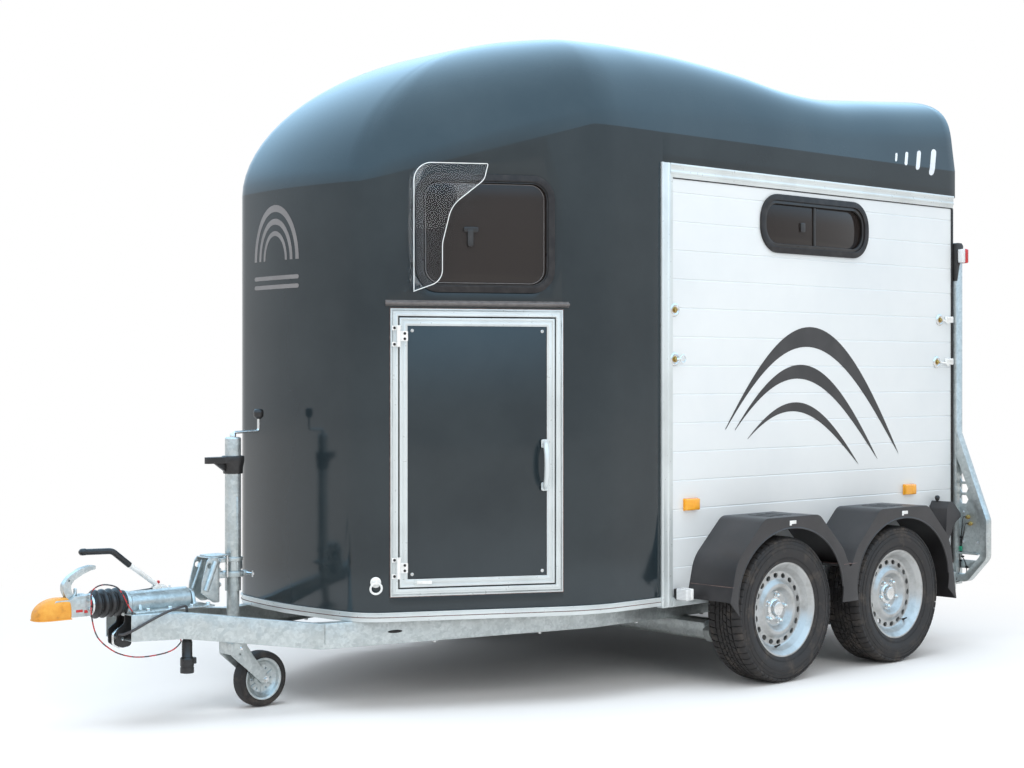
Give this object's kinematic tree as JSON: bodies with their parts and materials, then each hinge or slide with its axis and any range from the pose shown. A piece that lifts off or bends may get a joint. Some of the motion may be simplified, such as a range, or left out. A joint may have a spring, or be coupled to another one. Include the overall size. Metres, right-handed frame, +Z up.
{
  "type": "horse trailer",
  "caption": "Tandem-axle horse trailer with moulded nose and roof, plank sides, tack doors, rear ramp, and a drawbar standing on its jockey wheel.",
  "frame": {"origin": "on the ground, at the middle of the bounding box's underside", "axes": "+Z up, -Y towards the towing vehicle, +X the trailer's left side"},
  "size_m": [2.12, 4.3703, 2.655],
  "materials": {
    "gloss_slate": "gloss",
    "white_aluminium": "satin",
    "galvanised": "galvanised",
    "silver_paint": "silver",
    "tyre_rubber": "matt",
    "black_plastic": "grained",
    "dark_glass": "tinted",
    "clear_acrylic": "clear",
    "floor_board": "matt",
    "orange_rubber": "satin",
    "red_lens": "gloss",
    "white_lens": "gloss",
    "padding": "matt",
    "curtain_cloth": "matt"
  },
  "bodies": {
    "trailer": {"axle_front": "galvanised", "axle_rear": "galvanised", "bellows": "black_plastic", "breakaway_cable": "black_plastic", "breast_bar": "padding", "coupling_cover": "orange_rubber", "coupling_head": "galvanised", "crossbeam_front": "galvanised", "crossbeam_middle": "galvanised", "door_frame_left": "white_aluminium", "door_frame_right": "white_aluminium", "fender_left": "black_plastic", "fender_right": "black_plastic", "floor": "floor_board", "handbrake_lever": "galvanised", "jockey_clamp": "galvanised", "jockey_tube": "galvanised", "nose_shell": "gloss_slate", "nose_skirt": "white_aluminium", "nose_window_left": "dark_glass", "nose_window_right": "dark_glass", "overrun_housing": "galvanised", "partition": "padding", "plug": "black_plastic", "plug_cable": "black_plastic", "position_lamp_left": "white_lens", "position_lamp_right": "white_lens", "rail_left": "galvanised", "rail_right": "galvanised", "rear_curtain": "curtain_cloth", "rear_post_left": "galvanised", "rear_post_right": "galvanised", "rear_sill": "galvanised", "roof_shell": "gloss_slate", "rump_bar": "padding", "side_left": "white_aluminium", "side_right": "white_aluminium", "side_window_left": "dark_glass", "side_window_right": "dark_glass", "tail_lamp_left": "red_lens", "tail_lamp_right": "red_lens", "wheel_chock_left": "black_plastic", "wheel_chock_right": "black_plastic", "wind_deflector_left": "clear_acrylic", "wind_deflector_right": "clear_acrylic"},
    "wheel_front_left": {"rim_front_left": "silver_paint", "tyre_front_left": "tyre_rubber"},
    "wheel_front_right": {"rim_front_right": "silver_paint", "tyre_front_right": "tyre_rubber"},
    "wheel_rear_left": {"rim_rear_left": "silver_paint", "tyre_rear_left": "tyre_rubber"},
    "wheel_rear_right": {"rim_rear_right": "silver_paint", "tyre_rear_right": "tyre_rubber"},
    "door_left": {"door_left": "white_aluminium"},
    "door_right": {"door_right": "white_aluminium"},
    "ramp": {"ramp": "white_aluminium"},
    "jockey_leg": {"jockey_leg": "galvanised"},
    "jockey_fork": {"jockey_fork": "galvanised"},
    "jockey_wheel": {"jockey_rim": "silver_paint", "jockey_tyre": "tyre_rubber"}
  },
  "joints": [
    {"name": "wheel_front_left_spin", "type": "hinge", "parent": "trailer", "child": "wheel_front_left", "pos_m": [0.9425, 0.6105, 0.298], "axis": [1, 0, 0], "continuous": true},
    {"name": "wheel_front_right_spin", "type": "hinge", "parent": "trailer", "child": "wheel_front_right", "pos_m": [-0.9425, 0.6105, 0.298], "axis": [1, 0, 0], "continuous": true},
    {"name": "wheel_rear_left_spin", "type": "hinge", "parent": "trailer", "child": "wheel_rear_left", "pos_m": [0.9425, 1.3815, 0.298], "axis": [1, 0, 0], "continuous": true},
    {"name": "wheel_rear_right_spin", "type": "hinge", "parent": "trailer", "child": "wheel_rear_right", "pos_m": [-0.9425, 1.3815, 0.298], "axis": [1, 0, 0], "continuous": true},
    {"name": "door_left_hinge", "type": "hinge", "parent": "trailer", "child": "door_left", "pos_m": [0.4923, -0.98488, 0.968], "axis": [0, 0, -1], "range_deg": [0, 120]},
    {"name": "door_right_hinge", "type": "hinge", "parent": "trailer", "child": "door_right", "pos_m": [-0.4923, -0.98488, 0.968], "axis": [0, 0, 1], "range_deg": [0, 120]},
    {"name": "ramp_hinge", "type": "hinge", "parent": "trailer", "child": "ramp", "pos_m": [0, 2.115, 0.36], "axis": [-1, 0, 0], "range_deg": [0, 103]},
    {"name": "jockey_slide", "type": "slide", "parent": "trailer", "child": "jockey_leg", "axis": [0, 0, 1], "range_m": [0, 0.11]},
    {"name": "jockey_swivel", "type": "hinge", "parent": "jockey_leg", "child": "jockey_fork", "pos_m": [0, -1.386, 0.262], "axis": [0, 0, 1], "continuous": true},
    {"name": "jockey_spin", "type": "hinge", "parent": "jockey_fork", "child": "jockey_wheel", "pos_m": [0, -1.266, 0.105], "axis": [1, 0, 0], "continuous": true}
  ]
}
